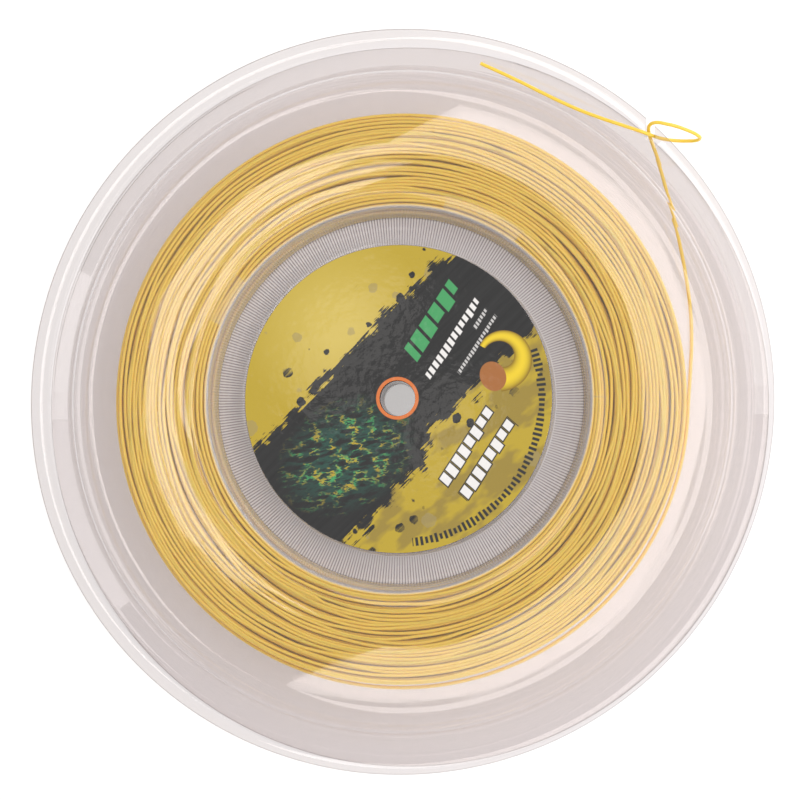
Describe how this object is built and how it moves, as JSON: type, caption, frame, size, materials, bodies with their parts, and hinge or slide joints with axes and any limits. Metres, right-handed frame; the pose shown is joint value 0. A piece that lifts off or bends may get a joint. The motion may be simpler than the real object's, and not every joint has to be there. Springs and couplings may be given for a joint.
{
  "type": "string reel",
  "caption": "Round clear reel of two half-shells with a raised labelled hub, wound with yellow racket string, its free end tucked in a rim slit.",
  "frame": {"origin": "on the reel's axis, at the height of the rear rim that the reel lies on", "axes": "+Z along the reel's axis, from the rear label to the front label; +X and +Y in the plane of the reel, with the string's free end in the +X +Y quarter"},
  "size_m": [0.26, 0.26, 0.0344],
  "materials": {
    "clear_plastic": "clear, glossy, vacuum-formed sheet",
    "yellow_string": "smooth golden-yellow monofilament with a soft gloss",
    "printed_foil": "glossy laminated gold foil printed in black"
  },
  "bodies": {
    "root": {"front_half_reel": "clear_plastic", "rear_half_reel": "clear_plastic", "string_winding": "yellow_string", "string_tail": "yellow_string", "front_label": "printed_foil", "rear_label": "printed_foil"}
  },
  "joints": []
}
